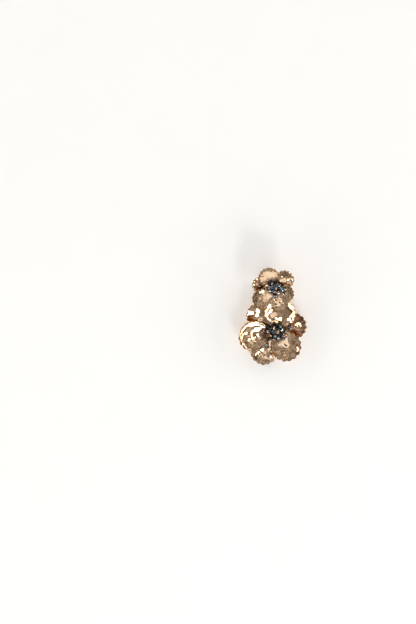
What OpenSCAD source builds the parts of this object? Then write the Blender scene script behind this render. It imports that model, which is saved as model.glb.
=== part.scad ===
// Post earring with two flowers of scalloped sheet-metal petals round clusters of faceted glass beads.
// Millimetres. The face plane has +X to the right, +Y to the top flower and +Z towards the viewer;
// lies_down() then tips the whole earring onto its post and the plate's straight edge, as it lies on a table.

/* [Lower flower] */
// Radius of a petal's dish
lower_petal_r = 7.5; // [7:0.1:7.8]
// Depth of a petal's dish at its outer rim
lower_dish = 1.7; // [1:0.1:1.8]
// Diameter of a cut bead
lower_bead_d = 2; // [1.7:0.1:2.1]

/* [Upper flower] */
// Radius of a petal's dish
upper_petal_r = 4.7; // [4.3:0.1:4.9]
// Depth of a petal's dish at its outer rim
upper_dish = 1.2; // [0.7:0.1:1.3]
// Diameter of a cut bead
upper_bead_d = 1.9; // [1.6:0.1:2]

/* [Petal sheet] */
// Thickness of the stamped sheet
sheet_t = 0.5; // [0.4:0.05:0.6]
// Depth of the scallops as a share of the dish radius
scallop = 0.09; // [0.04:0.01:0.12]
// Height of the flute behind each scallop
flute = 0.06; // [0:0.02:0.2]

/* [Back plate] */
// Distance between the two flowers' hubs
hub_distance = 25.3; // [25:0.1:26.5]
// Sideways step from the upper hub to the lower hub
hub_step = 0.5; // [0:0.1:1]
// Height of the pillar that carries the upper flower
pillar_h = 4.4; // [4.2:0.1:5.5]
// Thickness of the plate
plate_t = 0.9; // [0.8:0.1:1.2]

/* [Ear post] */
// Diameter of the pin
pin_d = 0.8; // [0.7:0.05:1]
// Length of the pin behind its pad, rounded tip included
pin_l = 9.5; // [9:0.5:11]

/* [Hidden] */
LOBES = 16;             // scallops in a full circle
COLUMNS = 4 * LOBES;    // mesh columns round a petal
RINGS = [0.42, 0.76, 1];
TONGUE_SPREAD = 34;     // degrees over which the inner tongue narrows
SEAT_GAP = 0.1;         // clearance between stacked pieces
SOLDER_GAP = 0.05;      // film of solder between the plate and the post's pad

lower_plate_r = 8.5;
foot_edge = 7.2;          // from the lower hub to the straight edge that the earring lies on
upper_plate_r = 4.6;
strap_w = 4.4;
lower_peg_r = 1.4;
upper_peg_r = 1.1;
peg_h = 1.9;
pillar_r = 3.4;
pad_r = 2.8;
pad_t = 0.4;
bead_bore_d = 0.9;
BEAD_SIDES = 8;
GOLDEN_ANGLE = 137.5;

// Columns of the two petal tables. TURN: degrees round the hub. OUT: mm from the hub to the dish's middle.
// SIZE: share of the flower's dish radius. LAYER: 0 on the plate, 1 over its neighbours.
// RISE: degrees that it climbs outwards. ROLL: degrees that it leans about its own length.
// DEPTH: share of the flower's dish depth.
TURN = 0;
OUT = 1;
SIZE = 2;
LAYER = 3;
RISE = 4;
ROLL = 5;
DEPTH = 6;
LOWER_PETALS = [
    // TURN,  OUT, SIZE, LAYER, RISE, ROLL, DEPTH
    [  20,  9.5, 0.96, 0,  3,  0, 0.5],
    [  77, 11.0, 1.05, 1,  6,  0, 0.7],
    [ 131, 11.8, 0.93, 0,  2,  0, 0.4],
    [ 187, 11.9, 1.02, 1, 10,  5, 1.0],
    [ 242, 11.8, 0.92, 0,  4,  0, 0.9],
    [ 309,  9.4, 1.03, 1, 16, -4, 0.8],
];
UPPER_PETALS = [
    // TURN, OUT, SIZE, LAYER, RISE, ROLL, DEPTH
    [  40, 5.9, 1.06, 0,  1,  0, 0.4],
    [ 121, 6.3, 1.08, 1,  2,  0, 0.2],
    [ 171, 7.1, 0.96, 0,  1,  0, 0.3],
    [ 218, 9.0, 1.03, 1, 12,  3, 0.8],
    [ 288, 7.3, 1.06, 0,  2,  0, 0.9],
    [ 330, 5.9, 1.00, 1, 12,  4, 0.5],
];

// Columns of the bead cluster table. COUNT: beads. LONG, WIDE: half axes in mm of the oval of their middles.
// ASIDE: mm that the oval sits to the right of the hub. HEIGHT: mm from the hub's plane to the outer beads.
// DOME: mm that the middle of the cluster stands higher. START: degrees at which its spiral starts.
COUNT = 0;
LONG = 1;
WIDE = 2;
ASIDE = 3;
HEIGHT = 4;
DOME = 5;
START = 6;
LOWER_CLUSTER = [14, 5.8, 3.9, 1.3, 3.3, 1.3, 90];
UPPER_CLUSTER = [ 9, 4.1, 2.7, 0.6, 3.3, 1.7, 99];

// The earring lies on the pin's rounded tip and the plate's straight edge, its upper end raised by rest_tilt
tip_back = SOLDER_GAP + pad_t + pin_l - pin_d / 2;
foot_reach = hub_distance + foot_edge;
rest_tilt = atan(tip_back / foot_reach) + asin(pin_d / 2 / norm([tip_back, foot_reach]));
rest_lift = foot_reach * sin(rest_tilt) + plate_t * cos(rest_tilt);
rest_middle = [-0.90, -16.68];   // middle of its outline on the table, measured from the upper hub

function numbered(stem, n) = [for (i = [1:n]) str(stem, i)];
LOWER_PETAL_NODES = numbered("lower_petal_", len(LOWER_PETALS));
UPPER_PETAL_NODES = numbered("upper_petal_", len(UPPER_PETALS));
LOWER_BEAD_NODES = numbered("lower_bead_", LOWER_CLUSTER[COUNT]);
UPPER_BEAD_NODES = numbered("upper_bead_", UPPER_CLUSTER[COUNT]);

function eased(x) = let(c = max(0, min(1, x))) c * c * (3 - 2 * c);

// 1 round a petal's outer rim, where it is scalloped and fluted, and 0 at its inner tongue
function frill(turn) = eased((150 - abs(turn)) / 35);

// Distance from the dish's middle to the rim, at an angle measured from the petal's outward direction
function rim_at(turn, r, out, root) =
    r * (1 + scallop * frill(turn) * (abs(cos(LOBES / 2 * turn)) - 0.5))
    + (out - root - r) * exp(-pow((180 - abs(turn)) / TONGUE_SPREAD, 2));

// Height of the sheet above the petal's own plane; the sides lift less the larger side_drop is
function dish_at(share, turn, depth, side_drop) =
    depth * share * share * pow((1 + cos(turn)) / 2, side_drop)
    + flute * pow(share, 3) * frill(turn) * cos(LOBES * turn);

// One ring of points round a petal, on its lower face raised by lift
function petal_ring(share, r, out, root, depth, side_drop, lift) = [
    for (k = [0:COLUMNS - 1])
        let(turn = k * 360 / COLUMNS - 180, reach = share * rim_at(turn, r, out, root))
        [out + reach * cos(turn), reach * sin(turn), dish_at(share, turn, depth, side_drop) + lift]
];

// Two triangles for each square between ring a and ring b, which start at those point numbers
function band(a, b) = [
    for (k = [0:COLUMNS - 1])
        let(n = (k + 1) % COLUMNS)
        each [[a + k, b + k, b + n], [a + k, b + n, a + n]]
];
function fan(centre, a) = [for (k = [0:COLUMNS - 1]) [centre, a + k, a + (k + 1) % COLUMNS]];
function flipped(faces) = [for (f = faces) [f[2], f[1], f[0]]];

// Cupped, scalloped sheet with its tongue at the hub
module petal(row, flower_r, flower_depth, root) {
    r = flower_r * row[SIZE];
    depth = flower_depth * row[DEPTH];
    side_drop = row[LAYER] == 1 ? 0.4 : 1.4;
    out = row[OUT];
    n = len(RINGS);
    side = 1 + n * COLUMNS;
    points = [
        for (lift = [0, sheet_t])
            each concat([[out, 0, lift]],
                        [for (share = RINGS) each petal_ring(share, r, out, root, depth, side_drop, lift)])
    ];
    top = concat(fan(side, side + 1),
                 [for (i = [0:n - 2]) each band(side + 1 + i * COLUMNS, side + 1 + (i + 1) * COLUMNS)]);
    under = concat(fan(0, 1), [for (i = [0:n - 2]) each band(1 + i * COLUMNS, 1 + (i + 1) * COLUMNS)]);
    edge = band(1 + (n - 1) * COLUMNS, side + 1 + (n - 1) * COLUMNS);
    seat = SEAT_GAP + row[LAYER] * (sheet_t + 2 * SEAT_GAP);
    color("#C9A777")
        rotate(row[TURN])
            translate([root, 0, seat])
                rotate([row[ROLL], -row[RISE], 0])
                    translate([-root, 0, 0])
                        polyhedron(points, concat(flipped(top), under, edge), convexity = 4);
}

// Eight-sided rondelle with a flat table at each end of its thread hole
module cut_bead(d) {
    h = 0.8 * d;
    levels = [[-h / 2, 0.56], [-0.15 * h, 1], [0.15 * h, 1], [h / 2, 0.56]];
    points = [
        for (level = levels, k = [0:BEAD_SIDES - 1])
            let(a = k * 360 / BEAD_SIDES)
            [d / 2 * level[1] * cos(a), d / 2 * level[1] * sin(a), level[0]]
    ];
    sides = [
        for (i = [0:len(levels) - 2], k = [0:BEAD_SIDES - 1])
            let(a = i * BEAD_SIDES, n = (k + 1) % BEAD_SIDES)
            [a + BEAD_SIDES + k, a + BEAD_SIDES + n, a + n, a + k]
    ];
    last = (len(levels) - 1) * BEAD_SIDES;
    color("#1A1D24")
        difference() {
            polyhedron(points, concat([[for (k = [0:BEAD_SIDES - 1]) k]], sides,
                                      [[for (k = [BEAD_SIDES - 1:-1:0]) last + k]]));
            translate([0, 0, -h])
                cylinder(d = bead_bore_d, h = 2 * h, $fn = 32);
        }
}

// Bead number i of a domed cluster, the beads set at the golden angle from its middle outwards
module clustered_bead(cluster, i, d) {
    share = sqrt((i + 0.7) / (cluster[COUNT] - 0.3));
    turn = cluster[START] + GOLDEN_ANGLE * i;
    translate([cluster[ASIDE] + cluster[LONG] * share * cos(turn), cluster[WIDE] * share * sin(turn),
               cluster[HEIGHT] + cluster[DOME] * (1 - share * share)])
        rotate([0, 55 + 35 * sin(137 * i), 97 * i])
            cut_bead(d);
}

// Flat plate under both flowers, with a peg in each hub and the pillar of the upper one, soldered up as one
module back_plate() {
    color("#B8986A") {
        translate([0, 0, -plate_t])
            linear_extrude(plate_t)
                union() {
                    circle(r = upper_plate_r, $fn = 96);
                    translate([hub_step / 2 - strap_w / 2, -hub_distance]) square([strap_w, hub_distance]);
                    translate([hub_step, -hub_distance])
                        difference() {
                            circle(r = lower_plate_r, $fn = 96);
                            translate([-lower_plate_r, -2 * lower_plate_r - foot_edge])
                                square(2 * lower_plate_r);
                        }
                }
        cylinder(r = pillar_r, h = pillar_h, $fn = 96);
        cylinder(r = upper_peg_r, h = pillar_h + peg_h, $fn = 48);
        translate([hub_step, -hub_distance, 0])
            cylinder(r = lower_peg_r, h = peg_h, $fn = 48);
    }
}

// Pin on its round pad, with a rounded tip
module ear_post() {
    color("#C4C2BC")
        translate([0, 0, -plate_t - SOLDER_GAP - pad_t]) {
            cylinder(r = pad_r, h = pad_t, $fn = 64);
            translate([0, 0, pin_d / 2 - pin_l]) cylinder(d = pin_d, h = pin_l, $fn = 32);
            translate([0, 0, pin_d / 2 - pin_l]) sphere(d = pin_d, $fn = 32);
        }
}

module on_lower_hub() {
    translate([hub_step, -hub_distance, 0]) children();
}

module on_upper_hub() {
    translate([0, 0, pillar_h]) children();
}

module lies_down() {
    translate([-rest_middle[0], -rest_middle[1], rest_lift])
        rotate([rest_tilt, 0, 0]) children();
}

lies_down() {
    back_plate();
    ear_post();
    for (i = [0:len(LOWER_PETALS) - 1])
        on_lower_hub() petal(LOWER_PETALS[i], lower_petal_r, lower_dish, lower_peg_r + 0.4);
    for (i = [0:len(UPPER_PETALS) - 1])
        on_upper_hub() petal(UPPER_PETALS[i], upper_petal_r, upper_dish, upper_peg_r + 0.3);
    for (i = [0:len(LOWER_BEAD_NODES) - 1])
        on_lower_hub() clustered_bead(LOWER_CLUSTER, i, lower_bead_d);
    for (i = [0:len(UPPER_BEAD_NODES) - 1])
        on_upper_hub() clustered_bead(UPPER_CLUSTER, i, upper_bead_d);
}
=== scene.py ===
import math

import bpy
from mathutils import Matrix, Vector, noise
from mathutils.bvhtree import BVHTree


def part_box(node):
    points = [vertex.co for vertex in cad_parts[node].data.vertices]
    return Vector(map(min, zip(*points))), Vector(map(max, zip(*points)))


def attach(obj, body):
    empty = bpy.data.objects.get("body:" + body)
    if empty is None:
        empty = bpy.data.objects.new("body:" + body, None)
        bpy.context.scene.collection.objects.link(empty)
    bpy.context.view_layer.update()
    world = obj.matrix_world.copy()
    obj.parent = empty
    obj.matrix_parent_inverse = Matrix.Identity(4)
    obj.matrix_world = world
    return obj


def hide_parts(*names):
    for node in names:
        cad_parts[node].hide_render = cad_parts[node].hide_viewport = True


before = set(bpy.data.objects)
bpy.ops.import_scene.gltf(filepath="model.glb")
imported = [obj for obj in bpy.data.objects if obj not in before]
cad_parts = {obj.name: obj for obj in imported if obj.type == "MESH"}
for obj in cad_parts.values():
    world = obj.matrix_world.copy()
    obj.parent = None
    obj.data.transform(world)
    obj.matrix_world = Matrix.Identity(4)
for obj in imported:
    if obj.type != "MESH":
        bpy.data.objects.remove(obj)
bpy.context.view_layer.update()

MM = 0.001
WAVE_STEP = math.pi / 10

# Rest pose and hubs
PLATE_T = 0.9
TIP_BACK = 9.55
PIN_R = 0.4
FOOT_REACH = 32.5
HUB_STEP = 0.5
HUB_DISTANCE = 25.3
PILLAR_H = 4.4
REST_MIDDLE = (-0.90, -16.68)

# Petal sheet, with its flutes lower than the solids', for a calmer mirror. The TONGUE and FRILL values
# are in degrees round the dish. SIDE_DROPS, how low the dish's sides stay, is for an under petal and an
# upper one
SHEET_T = 0.5
LOBES = 16
SCALLOP = 0.09
FLUTE = 0.035
TONGUE_SPREAD = 34.0
TONGUE_TURN = 150.0
FRILL_FADE = 35.0
SEAT_GAP = 0.1
SIDE_DROPS = (1.4, 0.4)
RIM_SWELL = 0.06
RIM_ROLL = 0.07
ROLL_START = 0.92
ROLL_SHARE = 0.07
COLUMNS = 160
RING_COUNT = 24
RING_CROWDING = 1.25

# Hammer marks and the wobble in a dent's outline, in mm: how high they are, and their pitch along and
# across the petal
BROAD_MARK = 0.06
BROAD_PITCH = (4.2, 2.6)
FINE_MARK = 0.011
FINE_PITCH = (1.7, 1.2)
WOBBLE = 0.4
WOBBLE_PITCH = (2.2, 2.2)

# Columns of the petal tables, after each petal's name: TURN round the hub in degrees, OUT from the hub
# in mm, SIZE as a share of the flower's dish radius, LAYER, RISE and ROLL in degrees, DEPTH as a share
# of its dish depth, CUP, the power of the dish's rise (2 is a plain dish, 4 or more a flat floor with a
# steep wall), and HAMMERING and SHADE REACH, how hard the sheet was hammered and how far from the hub
# the painted shade and dark reflection round the beads reach, as shares of the usual
LOWER_PETALS = {
    "lower_petal_1": (20, 9.5, 0.96, 0, 3, 0, 0.5, 2, 1.5, 1.0),
    "lower_petal_2": (77, 11.0, 1.05, 1, 6, 0, 0.7, 4, 1.3, 1.0),
    "lower_petal_3": (131, 11.8, 0.93, 0, 2, 0, 0.4, 2, 1.6, 1.5),
    "lower_petal_4": (187, 11.9, 1.02, 1, 10, 5, 1.0, 6, 2.0, 1.35),
    "lower_petal_5": (242, 11.8, 0.92, 0, 4, 0, 0.9, 2, 1.6, 1.0),
    "lower_petal_6": (309, 9.4, 1.03, 1, 16, -4, 0.8, 2, 0.6, 1.0),
}
UPPER_PETALS = {
    "upper_petal_1": (40, 5.9, 1.06, 0, 1, 0, 0.4, 2, 1.3, 1.0),
    "upper_petal_2": (121, 6.3, 1.08, 1, 2, 0, 0.2, 2, 0.6, 1.5),
    "upper_petal_3": (171, 7.1, 0.96, 0, 1, 0, 0.3, 2, 0.8, 2.4),
    "upper_petal_4": (218, 9.0, 1.03, 1, 12, 3, 0.8, 2, 1.4, 1.2),
    "upper_petal_5": (288, 7.3, 1.06, 0, 2, 0, 0.9, 2, 1.0, 1.6),
    "upper_petal_6": (330, 5.9, 1.00, 1, 12, 4, 0.5, 2, 0.6, 1.3),
}

# Columns of each petal's hand-made dents, in mm in its own plane: X, Y, RADIUS, DEPTH (below 0 for a
# bump) and then FLATNESS, the power that makes the floor flatter and the wall steeper
DENTS = {
    "lower_petal_1": [
        (12.5, -1.1, 2.2, 0.6, 2),
        (10.0, 2.6, 1.6, 0.16, 2),
        (9.8, -4.0, 1.8, 0.2, 2),
    ],
    "lower_petal_2": [
        (7.4, 2.2, 4.2, -0.58, 2),
        (8.0, -9.7, 6.0, 1.5, 2),
        (5.4, 6.6, 3.4, 0.75, 2),
    ],
    "lower_petal_3": [
        (14.1, 4.8, 2.8, 0.36, 2),
        (11.4, 1.0, 2.4, 0.22, 3),
        (19.0, 0.5, 3.4, 0.3, 2),
    ],
    "lower_petal_4": [
        (9.3, 0.3, 4.1, 0.75, 5),
        (8.6, 3.0, 4.5, 0.6, 2),
        (15.6, -0.2, 2.3, 0.35, 4),
        (14.2, 3.4, 2.2, 0.36, 2),
        (18.4, -1.6, 1.4, 0.3, 2),
        (18.1, 1.7, 1.4, 0.32, 2),
        (16.7, 4.4, 1.4, 0.28, 2),
    ],
    "lower_petal_5": [
        (15.5, -1.5, 2.5, 0.52, 2),
        (12.4, 3.6, 2.0, -0.6, 2),
        (12.2, 0.2, 2.4, 0.3, 2),
        (6.4, -5.6, 2.8, 0.5, 2),
    ],
    "lower_petal_6": [
        (11.3, 0.7, 5.6, 0.62, 2),
        (12.3, -3.2, 1.3, 0.45, 2),
        (13.8, 3.4, 1.6, 0.3, 2),
    ],
    "upper_petal_1": [
        (7.0, 0.6, 2.4, 0.19, 2),
        (8.2, -2.6, 1.8, 0.26, 3),
    ],
    "upper_petal_2": [
        (3.5, 0.6, 8.0, -0.68, 2),
        (6.6, 0.4, 1.4, 0.07, 2),
        (2.1, 3.0, 2.0, 0.55, 2),
    ],
    "upper_petal_3": [
        (8.6, 0.6, 1.8, -0.2, 2),
        (6.4, 1.6, 1.4, 0.16, 2),
    ],
    "upper_petal_4": [
        (7.4, -1.8, 1.8, 0.3, 2),
        (10.8, -0.8, 1.6, 0.2, 2),
        (9.2, 1.8, 2.2, 0.28, 2),
    ],
    "upper_petal_5": [
        (7.6, -2.2, 2.0, 0.2, 2),
        (9.4, 1.6, 1.8, 0.26, 3),
    ],
    "upper_petal_6": [
        (6.8, -3.8, 2.8, 0.4, 2),
        (7.6, 1.4, 1.6, 0.12, 3),
    ],
}

# Larger round beads at the clusters' edges as (X, Y, radius) in mm from the flower's hub
EDGE_BEADS = {
    "lower": [(-4.2, -7.0, 1.35), (7.4, 3.0, 1.15), (-6.4, 0.9, 1.0)],
    "upper": [(-5.6, 0.2, 1.0), (0.3, -4.7, 1.05), (4.6, -2.6, 0.9)],
}

# Round beads. Their hole and half height are shares of the radius, and their leans and spins in radians
BEAD_SIDES = 14
BEAD_ARCS = 8
BEAD_HOLE = 0.3
BEAD_HALF_HEIGHT = 0.62
BEAD_SPIN = 2.4
LEAST_LEAN = 0.4
MORE_LEAN = 1.1

# How the round beads lie, on a spiral of places in degrees: the gap in mm over a petal, the least
# distance between two middles as a share of their radii, and how far in mm one is off or may sink under
# the dome
SPIRAL_TURN = 137.5
SPIRAL_START = 40
BEAD_GAP = 0.04
BEAD_CLOSENESS = 0.97
BEAD_OFF = 0.25
BEAD_SINK = 1.0

# Where a bead feels for the sheet under it: directions, shares of its radius, and height in mm above
FEELERS = 8
FEELER_SHARES = (0.0, 0.45, 0.8, 0.97)
FEELER_TOP = 30

# Thread stitches in mm: they end round the top of the peg in the flower's middle
THREAD_R = 0.11
THREAD_SIDES = 6
STITCH_STEPS = 6
STITCH_SAG = 0.3
STITCH_BOW = 0.25
STITCH_TURN = 2.4
PEG_TOP = 2.1
PEG_R = 0.9


def linear(hex_colour):
    """sRGB hex to a linear RGBA tuple."""
    parts = [int(hex_colour[i : i + 2], 16) / 255 for i in (1, 3, 5)]
    return tuple(c / 12.92 if c <= 0.04045 else ((c + 0.055) / 1.055) ** 2.4 for c in parts) + (1.0,)


def per_mm(size):
    """Texture scale that draws a pattern's marks this many mm apart."""
    return 1 / (size * MM)


def rest_matrix():
    """Face plane in mm to the row frame in metres."""
    tilt = math.atan(TIP_BACK / FOOT_REACH) + math.asin(PIN_R / math.hypot(TIP_BACK, FOOT_REACH))
    lift = FOOT_REACH * math.sin(tilt) + PLATE_T * math.cos(tilt)
    place = Matrix.Translation(Vector((-REST_MIDDLE[0], -REST_MIDDLE[1], lift)) * MM)
    return place @ Matrix.Rotation(tilt, 4, "X") @ Matrix.Scale(MM, 4)


FACE = rest_matrix()
LOWER_HUB = FACE @ Matrix.Translation((HUB_STEP, -HUB_DISTANCE, 0))
UPPER_HUB = FACE @ Matrix.Translation((0, 0, PILLAR_H))


# Settings of the sums that the materials use
MULTIPLY = {"operation": "MULTIPLY"}
MULTIPLY_ADD = {"operation": "MULTIPLY_ADD"}


def add(nodes, kind, settings=None, **inputs):
    """A shader node with its settings; an input, by name or as _number, gets a value or a link."""
    node = nodes.new(kind)
    for key, value in (settings or {}).items():
        setattr(node, key, value)
    for key, value in inputs.items():
        socket = node.inputs[int(key[1:])] if key[0] == "_" else node.inputs[key.replace("_", " ")]
        if isinstance(value, bpy.types.NodeSocket):
            nodes.id_data.links.new(value, socket)
        else:
            socket.default_value = value
    return node


def ramp(nodes, factor, stops):
    """Colour ramp over (position, colour) stops."""
    node = add(nodes, "ShaderNodeValToRGB", _0=factor)
    while len(node.color_ramp.elements) < len(stops):
        node.color_ramp.elements.new(1.0)
    for element, (position, colour) in zip(node.color_ramp.elements, stops):
        element.position = position
        element.color = colour
    return node.outputs["Color"]


def mixed(nodes, factor, a, b):
    """Colour a blended into colour b."""
    return add(nodes, "ShaderNodeMix", {"data_type": "RGBA"}, _0=factor, _6=a, _7=b).outputs[2]


def new_material(name):
    """Empty node material and its nodes, with the object's own coordinates in metres."""
    material = bpy.data.materials.new(name)
    material.use_nodes = True
    nodes = material.node_tree.nodes
    nodes.clear()
    return material, nodes, add(nodes, "ShaderNodeTexCoord").outputs["Object"]


def finish_material(nodes, shader):
    """Puts the shader on the material's surface."""
    add(nodes, "ShaderNodeOutputMaterial", Surface=shader.outputs[0])


# Brass sheet, hammered, mirror polished and plated: a warm mirror with browner, duller scalloped rims,
# their brown partly the cut edge's own tone and partly a painted dark reflection, and a painted shade
# and painted dark reflection of the beads round them, darker towards the hub, where no cloth reaches.
# Its polishing lines are drawn ten times too coarse
def petal_gold(name, pale, deep):
    material, nodes, place = new_material(name)
    petal_map = add(nodes, "ShaderNodeUVMap", {"uv_map": "petal"}).outputs[0]
    split = add(nodes, "ShaderNodeSeparateXYZ", _0=petal_map)
    blotches = add(nodes, "ShaderNodeTexNoise", Vector=place, Scale=per_mm(2.4), Detail=3.0).outputs[0]
    from_hub, to_rim = split.outputs[0], split.outputs[1]
    # Rims: their brown is partly the cut edge's own tone and partly a painted dark reflection along the
    # rim
    edge = add(nodes, "ShaderNodeMapRange", Value=to_rim, From_Min=0.90, From_Max=0.97).outputs[0]
    rim_patches = add(nodes, "ShaderNodeMapRange", Value=blotches, From_Min=0.3, From_Max=0.55).outputs[0]
    rim = add(nodes, "ShaderNodeMath", MULTIPLY, _0=edge, _1=rim_patches).outputs[0]
    # Painted shade and painted dark reflection of the beads: the sheet darkens and dulls towards the
    # hub
    reach = add(nodes, "ShaderNodeMath", MULTIPLY_ADD, _0=blotches, _1=-0.5, _2=from_hub).outputs[0]
    painted_bead_shade = add(nodes, "ShaderNodeMapRange", Value=reach, From_Min=0.62, From_Max=0.3).outputs[0]
    plating = ramp(nodes, blotches, [(0.38, linear(pale)), (0.62, linear(deep))])
    toned = mixed(nodes, rim, plating, linear("#84603F"))
    # 463830 is the colour of the painted shade and dark reflection round the beads
    colour = mixed(nodes, painted_bead_shade, toned, linear("#463830"))
    lines_step = (per_mm(0.11), per_mm(1.1), per_mm(0.33))
    lines_place = add(nodes, "ShaderNodeMapping", Vector=place, Scale=lines_step).outputs[0]
    lines = add(nodes, "ShaderNodeTexNoise", Vector=lines_place, Scale=1.0, Detail=2.0).outputs[0]
    haze = add(nodes, "ShaderNodeMath", MULTIPLY_ADD, _0=blotches, _1=0.06, _2=0.01).outputs[0]
    dull = add(nodes, "ShaderNodeMath", MULTIPLY_ADD, _0=painted_bead_shade, _1=0.2, _2=haze).outputs[0]
    rough = add(nodes, "ShaderNodeMath", MULTIPLY_ADD, _0=rim, _1=0.25, _2=dull).outputs[0]
    peen = add(nodes, "ShaderNodeTexNoise", Vector=place, Scale=per_mm(1.7), Detail=1.0).outputs[0]
    relief = add(nodes, "ShaderNodeMath", MULTIPLY_ADD, _0=lines, _1=0.1, _2=peen).outputs[0]
    bump = add(nodes, "ShaderNodeBump", Strength=0.1, Distance=0.00004, Height=relief).outputs[0]
    shader = add(nodes, "ShaderNodeBsdfPrincipled", Metallic=1.0, Base_Color=colour, Roughness=rough,
                 Normal=bump)
    finish_material(nodes, shader)
    return material


# Cast brass backing, satin and plated pale gold: the same gold, broken by file marks 0.11 mm apart
def backing_gold():
    material, nodes, place = new_material("gold_plated_brass_backing")
    marks_step = (per_mm(1.7), per_mm(0.11), per_mm(0.33))
    marks_place = add(nodes, "ShaderNodeMapping", Vector=place, Scale=marks_step).outputs[0]
    marks = add(nodes, "ShaderNodeTexNoise", Vector=marks_place, Scale=1.0, Detail=3.0).outputs[0]
    blotches = add(nodes, "ShaderNodeTexNoise", Vector=place, Scale=per_mm(3.8), Detail=4.0).outputs[0]
    colour = ramp(nodes, blotches, [(0.35, linear("#D8B48A")), (0.7, linear("#C69E70"))])
    rough = add(nodes, "ShaderNodeMapRange", Value=marks, To_Min=0.22, To_Max=0.42).outputs[0]
    bump = add(nodes, "ShaderNodeBump", Strength=0.3, Distance=0.00005, Height=marks).outputs[0]
    shader = add(nodes, "ShaderNodeBsdfPrincipled", Metallic=1.0, Base_Color=colour, Roughness=rough,
                 Normal=bump)
    finish_material(nodes, shader)
    return material


# Drawn surgical steel wire, polished: cool bright metal with faint turning rings, drawn too coarse
def post_steel():
    material, nodes, place = new_material("polished_steel_post")
    step = WAVE_STEP * per_mm(0.12)
    along = {"bands_direction": "Z"}
    rings = add(nodes, "ShaderNodeTexWave", along, Vector=place, Scale=step, Distortion=1.5).outputs[1]
    smears = add(nodes, "ShaderNodeTexNoise", Vector=place, Scale=per_mm(1.4), Detail=3.0).outputs[0]
    colour = ramp(nodes, smears, [(0.3, linear("#CFCBC4")), (0.7, linear("#B9B5AE"))])
    rough = add(nodes, "ShaderNodeMapRange", Value=smears, To_Min=0.12, To_Max=0.26).outputs[0]
    bump = add(nodes, "ShaderNodeBump", Strength=0.1, Distance=0.00002, Height=rings).outputs[0]
    shader = add(nodes, "ShaderNodeBsdfPrincipled", Metallic=1.0, Base_Color=colour, Roughness=rough,
                 Normal=bump)
    finish_material(nodes, shader)
    return material


# Opaque black glass, cut and coated with metal oxide: dark facets that flash grey, teal, violet, bronze
def coated_glass():
    material, nodes, place = new_material("iris_coated_black_glass")
    patches = add(nodes, "ShaderNodeTexNoise", Vector=place, Scale=per_mm(1.56), Detail=1.0).outputs[0]
    tints = [(0.34, "#DAD8D0"), (0.40, "#1A1A1C"), (0.45, "#5A949C")]
    tints += [(0.50, "#1C1D20"), (0.56, "#7E7894"), (0.62, "#C09468")]
    colour = ramp(nodes, patches, [(position, linear(tint)) for position, tint in tints])
    pits = add(nodes, "ShaderNodeTexNoise", Vector=place, Scale=per_mm(0.25), Detail=2.0).outputs[0]
    rough = add(nodes, "ShaderNodeMapRange", Value=pits, To_Min=0.03, To_Max=0.12).outputs[0]
    bump = add(nodes, "ShaderNodeBump", Strength=0.05, Distance=0.00002, Height=pits).outputs[0]
    shader = add(nodes, "ShaderNodeBsdfPrincipled", Metallic=0.75, Base_Color=colour, Roughness=rough,
                 Normal=bump)
    finish_material(nodes, shader)
    return material


# Black glass cane, chopped and fire rounded, with a bronze lustre in places: dark with small highlights
def seed_glass():
    material, nodes, place = new_material("fire_rounded_black_glass")
    smears = add(nodes, "ShaderNodeTexNoise", Vector=place, Scale=per_mm(2.0), Detail=2.0).outputs[0]
    rough = add(nodes, "ShaderNodeMapRange", Value=smears, To_Min=0.05, To_Max=0.2).outputs[0]
    tints = [(0.38, "#BAC6C4"), (0.45, "#232529"), (0.52, "#5E493E"), (0.60, "#BE8259")]
    colour = ramp(nodes, smears, [(position, linear(tint)) for position, tint in tints])
    bump = add(nodes, "ShaderNodeBump", Strength=0.1, Distance=0.00003, Height=smears).outputs[0]
    shader = add(nodes, "ShaderNodeBsdfPrincipled", Metallic=0.75, Base_Color=colour, Roughness=rough,
                 Normal=bump)
    finish_material(nodes, shader)
    return material


# Twisted nylon beading thread, black: dull, ribbed by the twist every 0.13 mm, with painted shade in
# the grooves
def beading_thread():
    material, nodes, place = new_material("nylon_beading_thread")
    step = WAVE_STEP * per_mm(0.13)
    slanting = {"bands_direction": "DIAGONAL"}
    plies = add(nodes, "ShaderNodeTexWave", slanting, Vector=place, Scale=step, Distortion=1.0)
    twist = plies.outputs[1]
    # Painted shade: the grooves of the twist are coloured darker than its crests
    colour = ramp(nodes, twist, [(0.2, linear("#14120F")), (0.8, linear("#2C2823"))])
    bump = add(nodes, "ShaderNodeBump", Strength=0.5, Distance=0.00004, Height=twist).outputs[0]
    shader = add(nodes, "ShaderNodeBsdfPrincipled", Base_Color=colour, Roughness=0.7, Normal=bump)
    finish_material(nodes, shader)
    return material


# Matt white card, faintly mottled by its fibres, whose patches are drawn 3 mm wide to show
def white_card():
    material, nodes, place = new_material("matt_white_card")
    fibres = add(nodes, "ShaderNodeTexNoise", Vector=place, Scale=per_mm(3.3), Detail=4.0).outputs[0]
    colour = ramp(nodes, fibres, [(0.3, linear("#F9F8F6")), (0.7, linear("#FBFAF8"))])
    shader = add(nodes, "ShaderNodeBsdfPrincipled", Base_Color=colour, Roughness=0.9)
    shader.inputs["Specular IOR Level"].default_value = 0.1
    finish_material(nodes, shader)
    return material


# Petals
def eased(x):
    """Smooth step from 0 to 1."""
    c = max(0.0, min(1.0, x))
    return c * c * (3 - 2 * c)


def frill(turn):
    """1 round a petal's outer rim and 0 at its inner tongue."""
    return eased((TONGUE_TURN - abs(turn)) / FRILL_FADE)


def smooth_rim(turn, r, out, root):
    """Distance in mm from the dish's middle to the rim before the scallops are cut."""
    return r + (out - root - r) * math.exp(-(((180 - abs(turn)) / TONGUE_SPREAD) ** 2))


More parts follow.
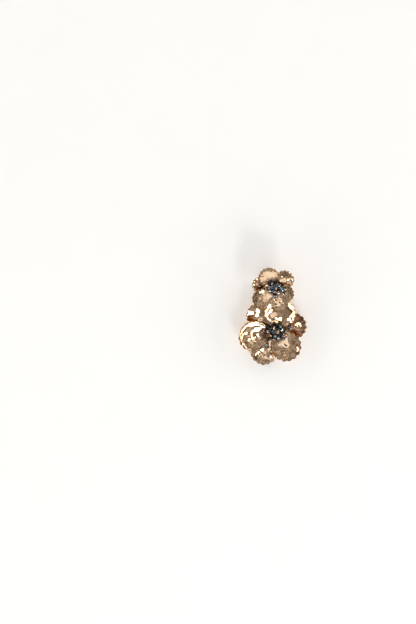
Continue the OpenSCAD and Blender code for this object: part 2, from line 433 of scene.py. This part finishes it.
def rim_at(turn, r, out, root):
    """Distance in mm from the dish's middle to the scalloped rim."""
    wave = abs(math.cos(math.radians(LOBES / 2 * turn))) - 0.5
    return smooth_rim(turn, r, out, root) + r * SCALLOP * frill(turn) * wave


def dish_at(share, turn, depth, side_drop, power):
    """Height in mm of the sheet above the petal's own plane."""
    cup = depth * share**power * ((1 + math.cos(math.radians(turn))) / 2) ** side_drop
    return cup + FLUTE * share**6 * frill(turn) * math.cos(math.radians(LOBES * turn))


def uneven(x, y, pitch, seed):
    """Smooth noise between -1 and 1, its humps a pitch of (along, across) mm apart."""
    return noise.noise(Vector((x / pitch[0], y / pitch[1], seed)))


def hammered(x, y, dents, seed, force):
    """Height in mm that hammering and bending add at a point; the seed's factors part the patterns."""
    height = force * BROAD_MARK * uneven(x, y, BROAD_PITCH, seed * 7.3)
    height += force * FINE_MARK * uneven(x, y, FINE_PITCH, seed * 3.1)
    side = WOBBLE * uneven(x, y, WOBBLE_PITCH, seed * 5.9)
    up = WOBBLE * uneven(x, y, WOBBLE_PITCH, seed * 9.7)
    for dent_x, dent_y, radius, depth, flatness in dents:
        share = math.hypot(x + side - dent_x, y + up - dent_y) / radius
        if share < 1:
            height -= depth * (1 - share**flatness) ** 2
    return height


def petal_place(hub, root, turn, layer, rise, roll):
    """Matrix from a petal's own plane in mm, X outwards from the hub, to the row frame."""
    seat = SEAT_GAP + layer * (SHEET_T + 2 * SEAT_GAP)
    lean = Matrix.Rotation(math.radians(-rise), 4, "Y") @ Matrix.Rotation(math.radians(roll), 4, "X")
    swing = hub @ Matrix.Rotation(math.radians(turn), 4, "Z")
    return swing @ Matrix.Translation((root, 0, seat)) @ lean @ Matrix.Translation((-root, 0, 0))


def petal(name, row, hub, flower_r, flower_depth, root, seed, finish):
    """Smooth, hammered twin of a petal's solid: two skins joined round a rolled rim."""
    set_turn, out, size, layer, rise, roll, depth_share, cup, hammering, shade_reach = row
    r = flower_r * size
    depth = flower_depth * depth_share
    shade_r = flower_r * shade_reach
    shares = [1 - (1 - i / RING_COUNT) ** RING_CROWDING for i in range(RING_COUNT + 1)]
    turns = [k * 360 / COLUMNS - 180 for k in range(COLUMNS)]
    rims = [rim_at(turn, r, out, root) for turn in turns]
    smooth_rims = [smooth_rim(turn, r, out, root) for turn in turns]
    verts = []
    uvs = []

    def ring(share, lift, swell=0.0):
        """Row of points at a share of the rim's distance, and the index of its first point."""
        first = len(verts)
        for k, turn in enumerate(turns):
            reach = share * rims[k] + swell
            x = out + reach * math.cos(math.radians(turn))
            y = reach * math.sin(math.radians(turn))
            z = lift + dish_at(reach / smooth_rims[k], turn, depth, SIDE_DROPS[layer], cup)
            z += hammered(x, y, DENTS[name], seed, hammering)
            if lift > 0:
                z -= RIM_ROLL * eased((share - ROLL_START) / ROLL_SHARE)
            verts.append((x, y, z))
            # The map's first share sets where the painted shade and dark reflection round the beads
            # fall
            uvs.append((math.hypot(x, y) / shade_r, share))
        return first

    top = [ring(share, SHEET_T) for share in shares]
    edge = [ring(1.0, SHEET_T * 0.5, RIM_SWELL)]
    under = [ring(share, 0.0) for share in reversed(shares)]
    rows = top + edge + under
    faces = []
    for a, b in zip(rows, rows[1:]):
        for k in range(COLUMNS):
            n = (k + 1) % COLUMNS
            faces.append((a + k, b + k, b + n, a + n))
    mesh = bpy.data.meshes.new(name)
    place = petal_place(hub, root, set_turn, layer, rise, roll)
    mesh.from_pydata([place @ Vector(v) for v in verts], [], faces)
    petal_map = mesh.uv_layers.new(name="petal")
    for polygon in mesh.polygons:
        polygon.use_smooth = True
        for corner, index in zip(polygon.loop_indices, polygon.vertices):
            petal_map.data[corner].uv = uvs[index]
    mesh.materials.append(finish)
    piece = bpy.data.objects.new(name + "_sheet", mesh)
    bpy.context.collection.objects.link(piece)
    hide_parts(name)
    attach(piece, "root")
    return piece


PALE_GOLD = petal_gold("pale_gold_plated_brass", "#F4D0AB", "#E6BE96")
# Painted shade and painted gold inter-reflection: a darker, redder copy of the same plated brass on two
# under petals
SHADED_GOLD = petal_gold("shaded_plated_brass", "#E6BC9A", "#C28C6E")
SHADED_PETALS = {"lower_petal_1", "upper_petal_3"}

# Columns of the flowers: petal table, HUB, dish RADIUS, dish DEPTH and petal ROOT in mm, and FIRST SEED
FLOWERS = [
    (LOWER_PETALS, LOWER_HUB, 7.5, 1.7, 1.8, 11),
    (UPPER_PETALS, UPPER_HUB, 4.7, 1.2, 1.4, 31),
]
petals = []
for petal_rows, hub, flower_r, flower_depth, root, first_seed in FLOWERS:
    for seed, (name, row) in enumerate(petal_rows.items(), first_seed):
        finish = SHADED_GOLD if name in SHADED_PETALS else PALE_GOLD
        petals.append(petal(name, row, hub, flower_r, flower_depth, root, seed, finish))


def petal_skin(pieces):
    """Every petal's faces as one surface to drop beads onto."""
    verts = []
    faces = []
    for piece in pieces:
        start = len(verts)
        verts.extend([v.co.copy() for v in piece.data.vertices])
        faces.extend([tuple(start + i for i in p.vertices) for p in piece.data.polygons])
    return BVHTree.FromPolygons(verts, faces)


skin = petal_skin(petals)


# Seed beads, which fill each cluster between the cut beads
def seed_bead(radius, hole):
    """Points and faces of a rounded bead on a thread hole along Z, in mm."""
    profile = []
    for i in range(BEAD_ARCS):
        angle = 2 * math.pi * i / BEAD_ARCS
        reach = (radius + hole) / 2 + (radius - hole) / 2 * math.cos(angle)
        profile.append((reach, BEAD_HALF_HEIGHT * radius * math.sin(angle)))
    points = []
    for r, z in profile:
        for k in range(BEAD_SIDES):
            angle = 2 * math.pi * k / BEAD_SIDES
            points.append((r * math.cos(angle), r * math.sin(angle), z))
    faces = []
    for i in range(BEAD_ARCS):
        for k in range(BEAD_SIDES):
            a, b = i * BEAD_SIDES, (i + 1) % BEAD_ARCS * BEAD_SIDES
            n = (k + 1) % BEAD_SIDES
            faces.append((a + k, a + n, b + n, b + k))
    return points, faces


def rests_at(hub, x, y, radius):
    """Height in mm above the hub's plane of the middle of a bead that rests on the petals."""
    down = (hub.to_3x3() @ Vector((0, 0, -1))).normalized()
    heights = [radius]
    for share in FEELER_SHARES:
        away = share * radius
        for i in range(FEELERS):
            angle = 2 * math.pi / FEELERS * i
            start = Vector((x + away * math.cos(angle), y + away * math.sin(angle), FEELER_TOP))
            hit = skin.ray_cast(hub @ start, down)[0]
            if hit is not None:
                heights.append((hub.inverted() @ hit).z + math.sqrt(radius**2 - away**2))
    return max(heights) + BEAD_GAP


def seed_spots(hub, oval, aside, height, dome, tries, radius, cut_spots, cut_r, edge_beads):
    """Middles and radii in mm of the seed beads: some at the edge, the rest between the cut beads."""
    spots = []
    for x, y, edge_r in edge_beads:
        spots.append((Vector((x, y, rests_at(hub, x, y, edge_r))), edge_r))
    for i in range(tries):
        share = math.sqrt((i + 0.5) / tries)
        turn = math.radians(SPIRAL_TURN * i + SPIRAL_START)
        x = aside + oval[0] * share * math.cos(turn)
        y = oval[1] * share * math.sin(turn)
        z = height + dome * (1 - share * share) + BEAD_OFF * math.sin(5 * i)
        spot = Vector((x, y, max(z - BEAD_SINK, rests_at(hub, x, y, radius))))
        taken = spots + [(other, cut_r) for other in cut_spots]
        if all((spot - other).length > (radius + other_r) * BEAD_CLOSENESS for other, other_r in taken):
            spots.append((spot, radius))
    return spots


def joined(name, parts, material):
    """One mesh of several (points, faces) parts, riding on the earring."""
    verts = []
    faces = []
    for points, part_faces in parts:
        start = len(verts)
        verts.extend(points)
        faces.extend([tuple(start + i for i in face) for face in part_faces])
    mesh = bpy.data.meshes.new(name)
    mesh.from_pydata(verts, [], faces)
    for polygon in mesh.polygons:
        polygon.use_smooth = True
    mesh.materials.append(material)
    piece = bpy.data.objects.new(name, mesh)
    bpy.context.collection.objects.link(piece)
    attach(piece, "root")


cut_bead_glass = coated_glass()
seed_bead_glass = seed_glass()


def cluster(stem, hub, count, oval, aside, height, dome, cut_d, seed_r, tries):
    """Coated cut beads of one flower and the beads round them; gives the middles that thread holds."""
    back = hub.inverted()
    cut_spots = []
    for i in range(1, count + 1):
        node = f"{stem}_bead_{i}"
        low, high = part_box(node)
        cut_spots.append(back @ ((low + high) / 2))
        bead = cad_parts[node]
        bead.data.materials.clear()
        bead.data.materials.append(cut_bead_glass)
    edge_beads = EDGE_BEADS[stem]
    spots = seed_spots(hub, oval, aside, height, dome, tries, seed_r, cut_spots, cut_d / 2, edge_beads)
    points, faces = seed_bead(1.0, BEAD_HOLE)
    parts = []
    for i, (spot, radius) in enumerate(spots):
        lean = LEAST_LEAN + MORE_LEAN * math.sin(3.1 * i) ** 2
        spin = Matrix.Rotation(BEAD_SPIN * i, 4, "Z") @ Matrix.Rotation(lean, 4, "Y")
        place = hub @ Matrix.Translation(spot) @ spin @ Matrix.Scale(radius, 4)
        parts.append(([place @ Vector(p) for p in points], faces))
    joined(stem + "_seed_beads", parts, seed_bead_glass)
    return cut_spots + [spot for spot, radius in spots[: len(edge_beads)]]


lower_stitched = cluster("lower", LOWER_HUB, count=14, oval=(5.8, 3.9), aside=1.3, height=3.3, dome=1.3,
                         cut_d=2.0, seed_r=0.8, tries=70)
upper_stitched = cluster("upper", UPPER_HUB, count=9, oval=(4.1, 2.7), aside=0.6, height=3.3, dome=1.7,
                         cut_d=1.9, seed_r=0.72, tries=50)


# Thread from each cut and edge bead down to the hub
def stitches(name, hub, spots, material):
    parts = []
    for i, spot in enumerate(spots):
        way = STITCH_TURN * i
        foot = Vector((PEG_R * math.cos(way), PEG_R * math.sin(way), PEG_TOP))
        bow = Vector((STITCH_BOW * math.cos(i), STITCH_BOW * math.sin(i), -STITCH_SAG))
        bend = (spot + foot) / 2 + bow
        points = []
        for j in range(STITCH_STEPS + 1):
            t = j / STITCH_STEPS
            middle = spot * (1 - t) ** 2 + bend * (2 * t * (1 - t)) + foot * t**2
            for k in range(THREAD_SIDES):
                angle = 2 * math.pi * k / THREAD_SIDES
                points.append(hub @ (middle + THREAD_R * Vector((math.cos(angle), math.sin(angle), 0))))
        faces = []
        for j in range(STITCH_STEPS):
            a, b = j * THREAD_SIDES, (j + 1) * THREAD_SIDES
            for k in range(THREAD_SIDES):
                n = (k + 1) % THREAD_SIDES
                faces.append((a + k, a + n, b + n, b + k))
        parts.append((points, faces))
    joined(name, parts, material)


thread = beading_thread()
stitches("lower_stitches", LOWER_HUB, lower_stitched, thread)
stitches("upper_stitches", UPPER_HUB, upper_stitched, thread)

# Plate and post keep their solids
for node, material in (("back_plate", backing_gold()), ("ear_post", post_steel())):
    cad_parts[node].data.materials.clear()
    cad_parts[node].data.materials.append(material)


# Stage
def stage_box(name, centre, size, material):
    bpy.ops.mesh.primitive_cube_add(size=1, location=centre)
    box = bpy.context.object
    box.name = name
    box.scale = size
    box.data.materials.append(material)


stage_box("table", centre=(0, 0, -0.0051), size=(5, 5, 0.01), material=white_card())

scene = bpy.context.scene
scene.view_settings.view_transform = "Standard"

# A tent of pale cloth on poles: bright walls, a dark seam, a grey folded roof and in it a pale panel
# with a lens hole. Columns of TENT_RINGS: UP, from 0 at the table to 1 overhead, and GLOW as a share of
# WALL_GLOW. The panel's lean, spread and blur and the lens hole's are in degrees
TENT_RINGS = [
    (0.0, 1.5),
    (0.3, 1.38),
    (0.44, 1.0),
    (0.49, 0.04),
    (0.59, 0.04),
    (0.64, 0.09),
    (0.77, 0.15),
]
WALL_GLOW = 2.8
CLOTH_TINT = (1.0, 0.99, 0.97)
FOLD_DARK = 0.5
FOLD_BRIGHT = 1.45
PANEL_GLOW = 0.41
PANEL_TINT = (0.94, 1.0, 1.08)
PANEL_LEAN = 17.0
PANEL_SPREAD = 15.0
PANEL_BLUR = 0.5
LENS_HOLE = 4.6
LENS_BLUR = 0.4
POLES = 14
POLE_SHARE = 0.1
POLE_TONE = (0.05, 0.045, 0.04, 1)
LENS_TONE = (0.01, 0.01, 0.01, 1)


def tinted(level, tint):
    """Linear colour of a level and a tint."""
    return (*(level * share for share in tint), 1)


def cos_deg(angle):
    return math.cos(math.radians(angle))


world = bpy.data.worlds.new("tent")
scene.world = world
world.use_nodes = True
sky = world.node_tree.nodes
sky.clear()
heading = add(sky, "ShaderNodeTexCoord").outputs["Generated"]
up = add(sky, "ShaderNodeSeparateXYZ", _0=heading).outputs[2]
cloth = ramp(sky, up, [(height, tinted(level, CLOTH_TINT)) for height, level in TENT_RINGS])
round_tent = add(sky, "ShaderNodeTexGradient", {"gradient_type": "RADIAL"}, Vector=heading).outputs[1]
bays = add(sky, "ShaderNodeMath", MULTIPLY, _0=round_tent, _1=POLES).outputs[0]
bay = add(sky, "ShaderNodeMath", {"operation": "FRACT"}, _0=bays).outputs[0]
pole_mask = add(sky, "ShaderNodeMapRange", Value=bay, From_Min=POLE_SHARE,
                From_Max=POLE_SHARE * 0.7).outputs[0]
folds = add(sky, "ShaderNodeTexNoise", Vector=heading, Scale=6.0, Detail=3.0, Distortion=1.0).outputs[0]
fold_shade = add(sky, "ShaderNodeMapRange", Value=folds, From_Min=0.4, From_Max=0.6, To_Min=FOLD_DARK,
                 To_Max=FOLD_BRIGHT).outputs[0]
draped = add(sky, "ShaderNodeVectorMath", {"operation": "SCALE"}, _0=cloth, Scale=fold_shade).outputs[0]
rings = mixed(sky, pole_mask, draped, POLE_TONE)
panel_way = (0.0, -math.sin(math.radians(PANEL_LEAN)), cos_deg(PANEL_LEAN))
dot = {"operation": "DOT_PRODUCT"}
along = add(sky, "ShaderNodeVectorMath", dot, _0=heading, _1=panel_way).outputs["Value"]
panel_mask = add(sky, "ShaderNodeMapRange", Value=along, From_Min=cos_deg(PANEL_SPREAD + PANEL_BLUR),
                 From_Max=cos_deg(PANEL_SPREAD - PANEL_BLUR)).outputs[0]
hole_mask = add(sky, "ShaderNodeMapRange", Value=along, From_Min=cos_deg(LENS_HOLE + LENS_BLUR),
                From_Max=cos_deg(LENS_HOLE - LENS_BLUR)).outputs[0]
with_panel = mixed(sky, panel_mask, rings, tinted(PANEL_GLOW, PANEL_TINT))
glow = mixed(sky, hole_mask, with_panel, LENS_TONE)
background = add(sky, "ShaderNodeBackground", Color=glow, Strength=WALL_GLOW)
add(sky, "ShaderNodeOutputWorld", Surface=background.outputs[0])


def panel(name, azimuth, elevation, distance, size, radiance, colour):
    """Soft light that faces the earring, its power worked out from how bright its face looks."""
    a, e = math.radians(azimuth), math.radians(elevation)
    data = bpy.data.lights.new(name, "AREA")
    data.shape = "RECTANGLE"
    data.size, data.size_y = size
    data.energy = radiance * math.pi * size[0] * size[1]
    data.color = colour
    light = bpy.data.objects.new(name, data)
    towards = Vector((math.cos(a) * math.cos(e), math.sin(a) * math.cos(e), math.sin(e)))
    light.location = towards * distance
    light.rotation_mode = "QUATERNION"
    light.rotation_quaternion = towards.to_track_quat("Z", "Y")
    bpy.context.collection.objects.link(light)


panel("key_softbox", azimuth=-66, elevation=40, distance=1.2, size=(0.26, 0.26), radiance=14.0,
      colour=(1.0, 0.985, 0.96))

# Camera looking straight down, with the earring to the right of the picture's middle
camera_data = bpy.data.cameras.new("camera")
camera_data.lens = 85
camera_data.sensor_width = 36
camera = bpy.data.objects.new("camera", camera_data)
camera.location = (-0.0334, 0.0025, 0.7688)
bpy.context.collection.objects.link(camera)
scene.camera = camera
